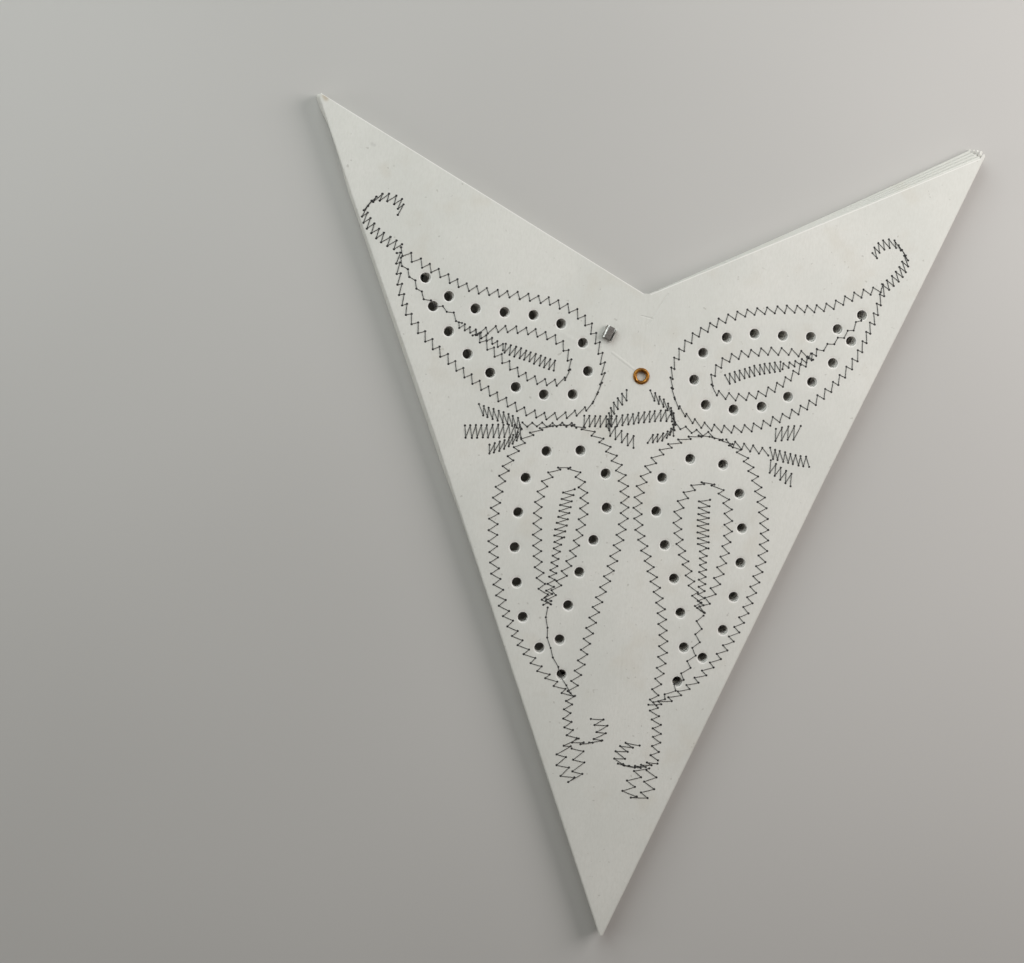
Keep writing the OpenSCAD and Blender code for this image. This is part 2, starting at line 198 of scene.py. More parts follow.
class Path:
    """A run of points that can be asked for a place and a direction at any distance along it."""

    def __init__(self, points):
        self.p = curve(points)
        self.s = [0.0]
        for a, b in zip(self.p, self.p[1:]):
            self.s.append(self.s[-1] + (b - a).length)
        self.length = self.s[-1]

    def at(self, a):
        """The point at distance a along the run."""
        a = min(self.length, max(0.0, a))
        i = next((i for i in range(1, len(self.s)) if self.s[i] >= a), len(self.s) - 1)
        step = self.s[i] - self.s[i - 1]
        return self.p[i - 1].lerp(self.p[i], (a - self.s[i - 1]) / step if step else 0)


def ring_of_holes(points):
    """The centres of one paisley's holes, evenly spaced round its path."""
    path = Path(points)
    return [path.at(path.length * i / HOLE_COUNT) for i in range(HOLE_COUNT)]


HOLES = [Vector((side * q.x, q.y + TIP_GAP)) for side in (-1, 1)
         for points in (WING_HOLES, LEAF_HOLES) for q in ring_of_holes(points)]
print(f"{len(HOLES)} holes on a sheet")

# %% [markdown]
# ## How flat the sheets lie
# Handmade card cockles by a fraction of a millimetre. The whole stack follows the same waves, and they
# fade towards the table, the folds, the eyelet and the crimp. The lowest sheet arches up a little inside
# its folds, which leaves its sewing just clear of the table. A folded stack also springs open where nothing
# holds it, so the wings' folds stand out a little and the lower short edges fan out at the right. All of
# this is worked out by a few functions of a point's place, and every piece that lies on the stack asks
# the same functions, so the sewing and the metal stay seated on the card.

# %% Cockle and arch of the sheets
def fold_distance(x, y):
    """Distance in from the nearest of the two outer folds."""
    return y * math.sin(HALF) - abs(x) * math.cos(HALF)


def edge_distance(x, y):
    """Distance in from the nearest short edge."""
    return (NOTCH - y) * math.cos(EDGE_A) + abs(x) * math.sin(EDGE_A)


def relief(x, y):
    """How far the top sheet rises or sinks at a point: waves of about 70 mm, and weaker ones of 22 mm."""
    n = noise.noise(Vector((x * 0.014 + 3.1, y * 0.014, 0.4))) * 0.34
    n += noise.noise(Vector((x * 0.045, y * 0.045 + 7, 1.7))) * 0.10
    keep = smooth(fold_distance(x, y) / 14) * (0.35 + 0.65 * smooth(edge_distance(x, y) / 20))
    for c in (EYELET, CRIMP):  # the card lies calm for 3 mm round the metal
        keep *= smooth((math.hypot(x - c[0], y - c[1]) - 3) / 9)
    return n * keep


def arch(x, y):
    """How far the lowest sheet arches up from the table."""
    return 0.3 * smooth((fold_distance(x, y) - 1) / 9) * smooth((edge_distance(x, y) - 1) / 9)


def level(k, upper, x, y):
    """Height of a sheet's outer face at a point, in ray k's own upright position."""
    if upper:
        return RAY_H
    return arch(x, y) if k == RAYS else 0.0


# %% Spring of the wings, and each ray's place
SPRING = 1.53     # strength of the folds' spring
FOLD_BAND = 16.0  # how far in from a fold its spring reaches
EDGE_BAND = 25.0  # how far in from a short edge its fanning reaches


def sprung(k, x, y):
    """Where a point of ray k really lies: its wings spring open a little, along and out from the edge."""
    side = 1 if x >= 0 else -1
    low = (k - 1) / (RAYS - 1)  # 0 for the top ray, 1 for the lowest
    fold = abs(x) * math.sin(HALF) + y * math.cos(HALF)  # how far the point lies along the outer fold
    short = max(0.0, abs(x) * math.cos(EDGE_A) + (y - NOTCH) * math.sin(EDGE_A))  # and along the short edge
    # At the right, all folds stand out alike and the short edges fan out. At the left, the top ray's fold
    # stands out most, and the lower ones swell and draw in again before the wing's corner.
    if side > 0:
        out = 1.0 * smooth((fold - 175) / 115)
        lift = 0.004 * short + 0.00012 * short ** 2 - 0.75
    else:
        out = (1 - low) * 1.4 * smooth((fold - 175) / 120)
        out += low * (0.45 * smooth((fold - 160) / 20) - smooth((fold - 280) / 22) + smooth((fold - 304) / 9))
        lift = -0.75 * smooth(1 - short / 45)
    out *= SPRING * smooth(1 - fold_distance(x, y) / FOLD_BAND)
    lift *= low * smooth(1 - edge_distance(x, y) / EDGE_BAND)
    move = lift * EDGE_O + out * EDGE_T
    return x + side * move.x, y + move.y


def placed(k, x, y, z):
    """A point of ray k at its place in the stack, in metres, with the stack's cockle."""
    x, y = sprung(k, x, y)
    a = (k - 1) * FAN
    px = x * math.cos(a) - y * math.sin(a) + (k - 1) * SLIP
    py = x * math.sin(a) + y * math.cos(a) + (k - 1) * CREEP
    pz = z + (RAYS - k) * PITCH
    return Vector((px, py - MID, pz * (1 + relief(px, py) / TOP))) / 1000


print(f"relief at the middle: {relief(0, 150):.3f} mm")
print(f"the right wing's corner springs by {(Vector(sprung(1, *WING)) - WING).length:.2f} mm on the top ray")

# %% [markdown]
# ## The rays
# A ray is one sheet of card. Its upper and lower faces are joined by two hairpin folds, and its glue tabs
# bend up round the lower face of the ray above. Each is built as a single surface, the outer face of the
# sheet, and is then given the card's thickness, as a real sheet has it. The flat parts are filled with a
# mesh that has a ring of points round each hole, so that the rims can dish where the punch went in.

# %% Wing corners and short edges
STEP = 5.0                        # size of the faces that fill a flat part
FOLD_STEPS = round(SIDE / STEP)   # faces along an outer fold
# How far each ray's sheet goes past its sharp wing corners, at the right and at the left, from the top ray
# down. The rays' corners don't lie quite over each other, and these were fitted to the wings' outline.
REACH = ((0.5, -1.5), (1.0, -0.8), (0.6, -0.2), (0.0, 0.4), (-0.7, 0.9))


def corner_points(k, side):
    """How ray k's wing corner is rounded off: places along and inward from the sharp corner."""
    r = REACH[k - 1][side < 0]
    return [(r - 2.2, -0.8), (r - 0.9, -0.3), (r - 0.25, 0.3), (r, 0.75)]


def corner_reach(k, side, b):
    """How far past the sharp corner ray k's sheet goes, at a distance b in from the fold."""
    points = corner_points(k, side)
    for (a0, b0), (a1, b1) in zip(points, points[1:]):
        if b0 <= b <= b1:
            return a0 + (a1 - a0) * (b - b0) / (b1 - b0)


def short_edge(k, side):
    """The short edge, as points from the rounded wing corner to where the tab ends near the notch."""
    # The tab starts about 2 mm from the corner, nearer to it where the sheet reaches further.
    far = EDGE_L + min(-1.9, 0.76 * REACH[k - 1][side < 0] - 1.2)
    count = round((far - TAB_IN) / STEP)
    return [edge(far + (TAB_IN - far) * i / count, 0) for i in range(count + 1)]


print("points on the top ray's right short edge:", len(short_edge(1, 1)))


# %% Outlines of the flat parts
def outline(k, upper, side):
    """Half the outline of a flat part, from the closed tip round the wing's corner to the notch."""
    c = TIP_R / math.sin(HALF)
    p = [Vector((0, c - TIP_R))]
    for a in (12, 25, 38, 50):
        r = math.radians(a)
        p.append(Vector((TIP_R * math.sin(r), c - TIP_R * math.cos(r))))
    r = math.radians(50)
    p.append(p[-1] + 3 * Vector((math.cos(r), math.sin(r))))
    p += [corner(a, b) for a, b in corner_points(k, side)]
    r, line = REACH[k - 1][side < 0], short_edge(k, side)
    if upper and k > 1:
        p += [corner(max(r - 0.25, -1.2), 1.15)] + [q - FOLD_R * EDGE_O for q in line]
        p.append(edge(TAB_IN - 0.6, 0))
    elif not upper and k < RAYS:
        p.append(corner(r - 1, 0.8))
        return p + [q - TUCK * EDGE_O for q in line] + [Vector((0, NOTCH - TUCK))]
    else:
        p += [corner(max(r - 0.25, -1.2), 1.15)] + line
    return p + [edge(1.5, 0), Vector((0, edge(1.5, 0).y))]


def inside_fold(p):
    """How far a point lies in from the line where the right-hand hairpin begins."""
    return p.dot(INWARD) - FOLD_R


def clipped(points):
    """The part of an outline that lies inside the line where the hairpin begins."""
    out = [Vector((0, FOLD_R / math.sin(HALF)))]
    for a, b in zip(points, points[1:]):
        da, db = inside_fold(a), inside_fold(b)
        if da >= 0:
            out.append(a)
        if (da < 0) != (db < 0):
            out.append(a.lerp(b, da / (da - db)))
    return out + [points[-1]]


def subdivided(points):
    """A closed outline with points added along its long sides, and the hairpins' count along those."""
    out = []
    for a, b in zip(points, points[1:] + points[:1]):
        # Both sides of a fold need the same count, so that they meet point for point.
        count = FOLD_STEPS if (b - a).length > 0.9 * SIDE else max(1, round((b - a).length / STEP))
        out += [a.lerp(b, i / count) for i in range(count)]
    return out


print("outline points:", len(outline(1, True, 1)), len(outline(2, True, 1)))

# %% Holes of a sheet, and the points that fill it
DISH = ((0.0, -0.16), (0.22, -0.07), (0.5, -0.01), (1.2, 0.03))  # how a rim dishes: out from it, and up
JITTER = 0.6                      # how far a filling point strays from its row
CLEAR = 4.0                       # how far it stays from a hole's centre


def punched_holes(k, upper, rng):
    """Centre and radius of each of a sheet's holes, which stray a little where they aren't seen."""
    far = 0 if k == 1 and upper else STRAY
    holes = [(h + Vector((rng.uniform(-far, far), rng.uniform(-far, far))), HOLE_R) for h in HOLES]
    if k == 1 and upper:
        holes.append((Vector(EYELET), EYELET_HOLE))
    return holes


def hole_rings(holes, fine):
    """Rings of points round the holes, each with how far it rises or sinks. A rim that is seen has more."""
    around, rings = (20, DISH) if fine else (12, DISH[::3])
    for h, r in holes:
        for out_by, up in rings:
            for i in range(around):
                a = 2 * math.pi * i / around
                point = h + (r + out_by) * Vector((math.cos(a), math.sin(a)))
                yield point, (0.0 if r > HOLE_R else up)


def filling(holes, rng):
    """Points in staggered rows, clear of the folds, the short edges and the holes."""
    line, y = 0, 4.0
    while y < WING.y:
        x = -WING.x + (STEP / 2 if line % 2 else 0)
        while x < WING.x:
            p = Vector((x + rng.uniform(-JITTER, JITTER), y + rng.uniform(-JITTER, JITTER)))
            if fold_distance(p.x, p.y) > FOLD_R + 2.5 and edge_distance(p.x, p.y) > 3.5 and \
                    all((p - h).length_squared > CLEAR ** 2 for h, r in holes):
                yield p
            x += STEP
        y, line = y + STEP * 0.87, line + 1


def cut_distance(p, holes, edges):
    """Distance from a point of the sheet to the nearest hole's rim or short edge."""
    hole = min((p - h).length for h, r in holes) - HOLE_R
    near = []
    for a, b in zip(edges, edges[1:]):
        q = Vector((abs(p.x), p.y))
        share = (q - a).dot(b - a) / (b - a).length_squared
        near.append((q - a.lerp(b, min(1.0, max(0.0, share)))).length)
    return max(0.0, min(hole, min(near)))


print("filling points of an unpunched sheet:", len(list(filling([], random.Random(1)))))


# %% Flat parts with their holes
def flat_part(mesh, k, upper):
    """Fills one flat part of ray k with triangles, leaving its holes open."""
    from_cut = mesh.verts.layers.float["from_cut"]
    half, other = clipped(outline(k, upper, 1)), clipped(outline(k, upper, -1))
    rim = subdivided(half + [Vector((-p.x, p.y)) for p in reversed(other[1:-1])])
    rng = random.Random(100 * k + upper)
    holes = punched_holes(k, upper, rng)
    spots = [(p, 0.0) for p in rim]
    spots += hole_rings(holes, (k == 1 and upper) or (k == RAYS and not upper))
    spots += [(p, 0.0) for p in filling(holes, rng)]
    sides = [(i, (i + 1) % len(rim)) for i in range(len(rim))]
    got = geometry.delaunay_2d_cdt([p for p, up in spots], sides, [], 1, 1e-7)
    points, triangles, came_from = got[0], got[2], got[3]
    edges = [corner(0.8, 1.1)] + short_edge(k, 1) + [edge(1.5, 0)]
    vert_of = {}
    for f in triangles:
        c = sum((points[i] for i in f), Vector((0, 0))) / 3
        # A triangle whose middle lies inside a hole is left out.
        if any((c - h).length_squared < r ** 2 * 0.96 for h, r in holes):
            continue
        for i in f:
            if i not in vert_of:
                q = points[i]
                up = spots[came_from[i][0]][1] if came_from[i] else 0.0
                z = level(k, upper, q.x, q.y) + (up if upper else -up)
                vert_of[i] = mesh.verts.new((q.x, q.y, z))
                vert_of[i][from_cut] = cut_distance(q, holes, edges)
        corners = [vert_of[i] for i in f]
        mesh.faces.new(corners if upper else corners[::-1])


# %% Folds and glue tabs
def hairpins(mesh, k):
    """Joins the upper and lower face of ray k down both sides with a rounded fold."""
    count, turns = FOLD_STEPS, 10
    for side in (1, -1):
        verts = []
        for j in range(turns + 1):
            a = math.pi * j / turns
            out_by = FOLD_R * (1 - math.sin(a) ** 0.7)
            s0 = max(out_by / math.tan(HALF), TIP_R / math.tan(HALF) - math.sqrt(1 - (1 - out_by) ** 2))
            s1 = SIDE + corner_reach(k, side, out_by)
            row = []
            for i in range(count + 1):
                s = s0 + (s1 - s0) * i / count
                ease = math.sin(math.pi * i / count) * math.sin(a)
                swell = noise.noise(Vector((s * 0.05, k * 3.7, 0))) * 0.12 * ease
                sway = noise.noise(Vector((s * 0.04, k * 9.1, 5))) * 0.06 * ease
                p = s * ALONG + (out_by - min(0.0, swell)) * INWARD
                z = FOLD_R + FOLD_R * math.cos(a) + sway
                row.append(mesh.verts.new((side * p.x, p.y, z)))
            verts.append(row)
        for ra, rb in zip(verts, verts[1:]):
            for i in range(count):
                quad = [ra[i], rb[i], rb[i + 1], ra[i + 1]]
                mesh.faces.new(quad if side > 0 else quad[::-1])


def glue_tabs(mesh, k):
    """Bends the two tabs of ray k up over its short edges, ready to lie inside the ray above."""
    turns = [math.pi * j / 6 for j in range(7)]
    for side in (1, -1):
        line = short_edge(k, side)
        verts = []
        for a in turns:
            z = RAY_H + BEND_R - BEND_R * math.cos(a)
            verts.append([(q + (BEND_R * math.sin(a) - FOLD_R) * EDGE_O, z) for q in line])
        for share in (0.12, 0.4, 0.7, 1.0):
            row = []
            for q in line:
                ends = 0.4 + min(2.5 * (q - line[-1]).length, 0.9 * (q - line[0]).length)
                row.append((q - (FOLD_R + share * min(TAB_W - FOLD_R, ends)) * EDGE_O, RAY_H + 2 * BEND_R))
            verts.append(row)
        rows = [[mesh.verts.new((side * q.x, q.y, z)) for q, z in row] for row in verts]
        for ra, rb in zip(rows, rows[1:]):
            for i in range(len(line) - 1):
                quad = [ra[i], ra[i + 1], rb[i + 1], rb[i]]
                mesh.faces.new(quad[::-1] if side > 0 else quad)


# %% Thickness, and the finished object
def thicken(mesh, thickness):
    """Gives a surface its thickness inwards, with a rim along its free edges."""
    mesh.normal_update()
    faces, free = mesh.faces[:], [e for e in mesh.edges if e.is_boundary]
    from_cut = mesh.verts.layers.float["from_cut"]
    inner = {}
    for v in mesh.verts[:]:
        inner[v] = mesh.verts.new(v.co - thickness * v.normal)
        inner[v][from_cut] = v[from_cut]
    for f in faces:
        mesh.faces.new([inner[v] for v in reversed(f.verts)])
    for e in free:
        a, b = [loop.vert for loop in (e.link_loops[0], e.link_loops[0].link_loop_next)]
        mesh.faces.new([b, a, inner[a], inner[b]])


def finished(name, mesh, material, angle=35):
    """Makes an object of a bmesh, smooth apart from its sharp edges, and lets it ride on the star."""
    data = bpy.data.meshes.new(name)
    mesh.to_mesh(data)
    mesh.free()
    for p in data.polygons:
        p.use_smooth = True
    data.set_sharp_from_angle(angle=math.radians(angle))
    data.materials.append(material)
    obj = bpy.data.objects.new(name, data)
    bpy.context.scene.collection.objects.link(obj)
    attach(obj, "root")
    return obj


# %% [markdown]
# ## Materials
# Each material is a few patterns at real scale, in millimetres, laid over each other: the card has fine
# fibres, soft clouding, a few flecks and the marks of handling, and the metals have tarnish and fine
# scratches. All of them read the place on the star, so a pattern runs on across a fold.

# %% Colours and nodes
def rgb(code):
    """A colour from a hex code, in the linear values that the shaders take."""
    parts = [int(code[i:i + 2], 16) / 255 for i in (0, 2, 4)]
    return tuple(c / 12.92 if c <= 0.04045 else ((c + 0.055) / 1.055) ** 2.4 for c in parts) + (1.0,)


def new_material(name):
    """A new material, with its node tree and its shader."""
    m = bpy.data.materials.new(name)
    m.use_nodes = True
    return m, m.node_tree, m.node_tree.nodes["Principled BSDF"]


def node(tree, kind, settings=None, links=None, **values):
    """Adds a node: settings are its own options, values its inputs, links its incoming sockets."""
    n = tree.nodes.new("ShaderNode" + kind)
    for key, value in (settings or {}).items():
        setattr(n, key, value)
    for key, value in values.items():
        socket = int(key[1:]) if key[1:].isdigit() else key.replace("_", " ")
        n.inputs[socket].default_value = value
    for key, socket in (links or {}).items():
        tree.links.new(socket, n.inputs[key])
    return n


# %% Patterns at real scale
def millimetres(tree):
    """The place on the star in millimetres, which every pattern is measured in."""
    here = node(tree, "TexCoord").outputs["Object"]
    return node(tree, "VectorMath", {"operation": "SCALE"}, {0: here}, Scale=1000.0).outputs[0]


def pattern(tree, place, size, detail=3.0, rough=0.5, stretch=(1, 1, 1)):
    """Noise whose features are about size millimetres wide."""
    if stretch != (1, 1, 1):
        place = node(tree, "Mapping", None, {"Vector": place}, Scale=stretch).outputs[0]
    return node(tree, "TexNoise", None, {"Vector": place}, Scale=1 / size, Detail=detail,
                Roughness=rough).outputs["Fac"]


def span(tree, value, low, high, to_low=0.0, to_high=1.0, kind="SMOOTHSTEP"):
    """Maps a value from one range to another and keeps it there."""
    return node(tree, "MapRange", {"interpolation_type": kind}, {0: value}, i1=low, i2=high, i3=to_low,
                i4=to_high).outputs[0]


def mix(tree, share, a, b):
    """Mixes two colours, each a hex code or a socket."""
    n = tree.nodes.new("ShaderNodeMix")
    n.data_type = "RGBA"
    for socket, value in ((n.inputs[6], a), (n.inputs[7], b)):
        if isinstance(value, str):
            socket.default_value = rgb(value)
        else:
            tree.links.new(value, socket)
    tree.links.new(share, n.inputs[0])
    return n.outputs[2]


def maths(tree, what, a, b):
    """Works out one sum of two numbers or sockets."""
    n = node(tree, "Math", {"operation": what})
    for i, value in enumerate((a, b)):
        if isinstance(value, (int, float)):
            n.inputs[i].default_value = value
        else:
            tree.links.new(value, n.inputs[i])
    return n.outputs[0]


def near_line(tree, place, a, b, width):
    """One along a straight mark from a to b in the sheet's plane, fading to nothing at width from it."""
    ab = Vector((b[0] - a[0], b[1] - a[1], 0))
    flat = node(tree, "VectorMath", {"operation": "MULTIPLY"}, {0: place}, i1=(1, 1, 0)).outputs[0]
    rel = node(tree, "VectorMath", {"operation": "SUBTRACT"}, {0: flat}, i1=(a[0], a[1], 0)).outputs[0]
    dot = node(tree, "VectorMath", {"operation": "DOT_PRODUCT"}, {0: rel}, i1=tuple(ab / ab.length_squared))
    share = node(tree, "Clamp", None, {"Value": dot.outputs["Value"]}).outputs[0]
    reach = node(tree, "VectorMath", {"operation": "SCALE"}, {3: share}, i0=tuple(ab)).outputs[0]
    apart = node(tree, "VectorMath", {"operation": "DISTANCE"}, {0: rel, 1: reach}).outputs["Value"]
    return span(tree, apart, 0.0, width, 1.0, 0.0)


# %% Marks of handling
def on_sheet(x, y):
    """A point of the ornament, where it lies in the finished stack."""
    return (x, y + TIP_GAP - MID)


# Each mark is a short line from one point to another, with its width and its strength.
STAINS = [(on_sheet(-119.6, 290.2), on_sheet(-119, 289.4), 1.6, 0.5),
          (on_sheet(-97, 267), on_sheet(-96, 265), 3.0, 0.10)]
SMUDGES = [(on_sheet(-101.8, 275), on_sheet(-101, 274.6), 1.0, 0.22),
           (on_sheet(-40, 179.3), on_sheet(-38, 178.8), 1.8, 0.25),
           (on_sheet(-16.4, 133), on_sheet(-16.3, 133.1), 0.4, 0.6),
           (on_sheet(-45, 164.2), on_sheet(-44.9, 164.2), 0.4, 0.5)]
# A crease is sunk where its depth is below zero, and stands up where it is above.
CREASES = [(on_sheet(0, 12), on_sheet(0, 190), 0.9, -0.03), (on_sheet(0, 209), on_sheet(0, 229), 0.9, -0.03),
           (on_sheet(7.5, 231), on_sheet(1, 219.5), 0.5, -0.10),
           (on_sheet(-1.5, 222.5), on_sheet(2.6, 221.8), 0.4, -0.10),
           (on_sheet(-11, 208.5), on_sheet(-3, 203.3), 0.7, 0.10),
           (on_sheet(-30, 214), on_sheet(-19, 209), 1.2, 0.06)]
print(len(STAINS), "stains,", len(SMUDGES), "smudges and", len(CREASES), "creases")


# %% White handmade card
def card_material():
    """Pressed and unglazed paper: matt and soft to the eye, with fibres that catch a low light."""
    m, tree, shader = new_material("white_handmade_card")
    place = millimetres(tree)
    cloud = pattern(tree, place, 38, 3, 0.55)
    fibre = pattern(tree, place, 0.55, 4, 0.6, (1, 0.35, 1))
    grain = pattern(tree, place, 0.22, 2, 0.5)
    colour = mix(tree, span(tree, cloud, 0.35, 0.65), "D9DAD3", "E0E0D9")
    colour = mix(tree, span(tree, fibre, 0.3, 0.75, 0.0, 0.3), colour, "C9C9C0")
    flecks = span(tree, pattern(tree, place, 1.6, 1, 0.4), 0.74, 0.8, 0.0, 0.35)
    colour = mix(tree, flecks, colour, "9A968B")
    soil = span(tree, pattern(tree, place, 14, 2, 0.5), 0.56, 0.75, 0.0, 0.18)
    colour = mix(tree, soil, colour, "C8C0AE")
    for marks, tint in ((STAINS, "A88F63"), (SMUDGES, "8C8B84")):
        for a, b, width, share in marks:
            here = maths(tree, "MULTIPLY", near_line(tree, place, a, b, width), share)
            colour = mix(tree, here, colour, tint)
    # Painted highlight: within half a millimetre of a punched hole's rim or a short edge, the sheet is
    # painted whiter to stand in for the light that the cut rims catch.
    from_cut = node(tree, "Attribute", {"attribute_name": "from_cut"}).outputs["Fac"]
    colour = mix(tree, span(tree, from_cut, 0.1, 0.5, 0.8, 0.0), colour, "F4F3EE")
    tree.links.new(colour, shader.inputs["Base Color"])
    shader.inputs["Roughness"].default_value = 0.78
    shader.inputs["Specular IOR Level"].default_value = 0.32
    height = maths(tree, "ADD", maths(tree, "MULTIPLY", fibre, 0.03), maths(tree, "MULTIPLY", grain, 0.012))
    height = maths(tree, "ADD", height, maths(tree, "MULTIPLY", pattern(tree, place, 6, 2, 0.5), 0.05))
    for a, b, width, depth in CREASES:
        here = maths(tree, "MULTIPLY", near_line(tree, place, a, b, width), depth)
        height = maths(tree, "ADD", height, here)
    bump = node(tree, "Bump", None, {"Height": height}, Strength=1.0, Distance=0.001)
    tree.links.new(bump.outputs[0], shader.inputs["Normal"])
    return m


CARD_MATERIAL = card_material()
print("material:", CARD_MATERIAL.name, len(CARD_MATERIAL.node_tree.nodes), "nodes")

# %% Fold the five rays
WELD = 0.02  # parts of one sheet that lie this near are joined
UNCUT = 6.0  # distance from a cut that is given to the folds and tabs, which show none


def folded_sheet(k):
    """The outer face of ray k's sheet, with its flat parts, folds and tabs joined."""
    sheet = bmesh.new()
    from_cut = sheet.verts.layers.float.new("from_cut")
    flat_part(sheet, k, True)
    flat_part(sheet, k, False)
    flat_count = len(sheet.verts)
    hairpins(sheet, k)
    if k > 1:
        glue_tabs(sheet, k)
    sheet.verts.ensure_lookup_table()
    for v in sheet.verts[flat_count:]:
        v[from_cut] = UNCUT
    bmesh.ops.remove_doubles(sheet, verts=sheet.verts[:], dist=WELD)
    bmesh.ops.recalc_face_normals(sheet, faces=sheet.faces[:])
    sheet.normal_update()
    top_faces = [f for f in sheet.faces if abs(f.calc_center_median().z - RAY_H) < 0.25]
    if sum(f.normal.z * f.calc_area() for f in top_faces) < 0:
        bmesh.ops.reverse_faces(sheet, faces=sheet.faces[:])
    return sheet


for k in range(1, RAYS + 1):
    sheet = folded_sheet(k)
    thicken(sheet, CARD)
    for v in sheet.verts:
        v.co = placed(k, *v.co)
    ray = finished(f"folded_ray_{k}", sheet, CARD_MATERIAL)
    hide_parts(f"ray_{k}")
    print(ray.name, len(ray.data.polygons), "faces")

# %% [markdown]
# ## The sewing
# The needle makes a hole at each corner of the zigzag and draws the thread down into it, so every stitch
# is a short arch of twisted black thread with a dark dimple at both ends. The bobbin's loop shows in the
# dimple as a small knot. The underside of the lowest ray is sewn the same way, seen from below.

# %% Black sewing thread
def thread_material():
    """Twisted sewing thread: a dull black, with the light running along its twist."""
    m, tree, shader = new_material("black_sewing_thread")
    turns = node(tree, "UVMap").outputs[0]
    ply = node(tree, "TexWave", {"wave_type": "BANDS", "bands_direction": "DIAGONAL"}, {"Vector": turns},
               Scale=1.2, Distortion=0.4, Detail=1.0).outputs["Fac"]
    place = millimetres(tree)
    colour = mix(tree, span(tree, ply, 0.2, 0.9), "0F0F10", "34332F")
    colour = mix(tree, span(tree, pattern(tree, place, 9, 2), 0.4, 0.75, 0.0, 0.4), colour, "4A4842")
    tree.links.new(colour, shader.inputs["Base Color"])
    shader.inputs["Roughness"].default_value = 0.62
    shader.inputs["Sheen Weight"].default_value = 0.3
    bump = node(tree, "Bump", None, {"Height": ply}, Strength=0.6, Distance=0.00004)
    tree.links.new(bump.outputs[0], shader.inputs["Normal"])
    return m


THREAD_MATERIAL = thread_material()
print("material:", THREAD_MATERIAL.name, len(THREAD_MATERIAL.node_tree.nodes), "nodes")

# %% One stitch and one knot
THREAD_R, THREAD_SIDES = 0.115, 6
# A stitch's height along its length: it dives into the card at both ends.
ARC = ((0.0, -0.2), (0.06, 0.02), (0.25, 0.10), (0.5, 0.12), (0.75, 0.10), (0.94, 0.02), (1.0, -0.2))
KNOT = ((0.43, 0.01), (0.37, 0.08), (0.17, 0.13))  # radius and height of the rings round a needle hole
KNOT_SIDES = 8
WANDER = 0.14                                      # how far the needle strays from its even zigzag
BOW = 0.05                                         # how far a stitch bows sideways


class SewnFace:
    """The outer face of a sheet that is sewn: which way is out, and how proud the thread lies."""

    def __init__(self, k, upper):
        self.k, self.upper = k, upper
        self.out = 1 if upper else -1
        self.flat = 1.0 if upper else 0.8

    def at(self, p, up):
        """A point of the ornament at a height above the face."""
        y = p.y + TIP_GAP
        return Vector((p.x, y, level(self.k, self.upper, p.x, y) + self.out * up))


def needle_points(run, rng):
    """Where the needle goes down along one run."""
    step, swing, turn, points = run
    path = Path(points)
    count = max(2, round(path.length / step))
    swung = swing / 2 * Vector((math.cos(math.radians(turn)), math.sin(math.radians(turn))))
    out = []
    for i in range(count + 1):
        p = path.at(path.length * i / count) + (swung if i % 2 == 0 else -swung)
        out.append(p + Vector((rng.uniform(-WANDER, WANDER), rng.uniform(-WANDER, WANDER))))
    return out


def stitch(mesh, uv, face, a, b, bow):
    """A short arch of thread from one needle hole to the next, with its own map for the twist."""
    d = (b - a).normalized()
    across = Vector((-d.y, d.x, 0))
    sideways = Vector((-d.y, d.x)) * bow
    rings = []
    for share, up in ARC:
        mid = a.lerp(b, share) + sideways * math.sin(math.pi * share)
        c = face.at(mid, up * face.flat + (0.03 if up > 0 else 0))
        ring = []
        for j in range(THREAD_SIDES):
            t = 2 * math.pi * j / THREAD_SIDES
            ring.append(mesh.verts.new(c + THREAD_R * (math.cos(t) * across + Vector(
                (0, 0, face.out * math.sin(t) * face.flat)))))
        rings.append((ring, share * (b - a).length))
    for (ra, sa), (rb, sb) in zip(rings, rings[1:]):
        for j in range(THREAD_SIDES):
            n = (j + 1) % THREAD_SIDES
            f = mesh.faces.new([ra[j], ra[n], rb[n], rb[j]])
            for loop, spot in zip(f.loops, ((sa, j), (sa, j + 1), (sb, j + 1), (sb, j))):
                loop[uv].uv = (spot[0] * 2, spot[1] / THREAD_SIDES * 2)


def knot(mesh, face, p):
    """The small knot of the bobbin's loop, seen in a needle hole."""
    rings = []
    for r, up in KNOT:
        ring = []
        for j in range(KNOT_SIDES):
            t = 2 * math.pi * j / KNOT_SIDES
            spot = Vector((r * math.cos(t), r * math.sin(t), face.out * up * face.flat))
            ring.append(mesh.verts.new(face.at(p, 0.0) + spot))
        rings.append(ring)
    for ra, rb in zip(rings, rings[1:]):
        for j in range(KNOT_SIDES):
            n = (j + 1) % KNOT_SIDES
            mesh.faces.new([ra[j], ra[n], rb[n], rb[j]])
    mesh.faces.new(rings[-1])


# %% Sew the top sheet and the underside
def sew(name, k, upper, runs, seed):
    """Lays every run's thread on one sheet."""
    rng = random.Random(seed)
    face = SewnFace(k, upper)
    mesh = bmesh.new()
    uv = mesh.loops.layers.uv.new("UVMap")
    stitches = 0
    for run in runs:
        points = needle_points(run, rng)
        for a, b in zip(points, points[1:]):
            stitch(mesh, uv, face, a, b, rng.uniform(-BOW, BOW))
            stitches += 1
        for p in points:
            knot(mesh, face, p)
    bmesh.ops.recalc_face_normals(mesh, faces=mesh.faces[:])
    for v in mesh.verts:
        v.co = placed(k, v.co.x, v.co.y, v.co.z if upper else max(0.01, v.co.z))
    obj = finished(name, mesh, THREAD_MATERIAL, 60)
    print(name, stitches, "stitches,", len(obj.data.polygons), "faces")
    return obj


top_sewing = sew("top_sewing", 1, True, RUNS, 5)
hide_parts("stitching")
mirrored = [(step, swing, 180 - turn, [(-x, y) for x, y in points]) for step, swing, turn, points in RUNS]
sew("underside_sewing", RAYS, False, mirrored, 8)

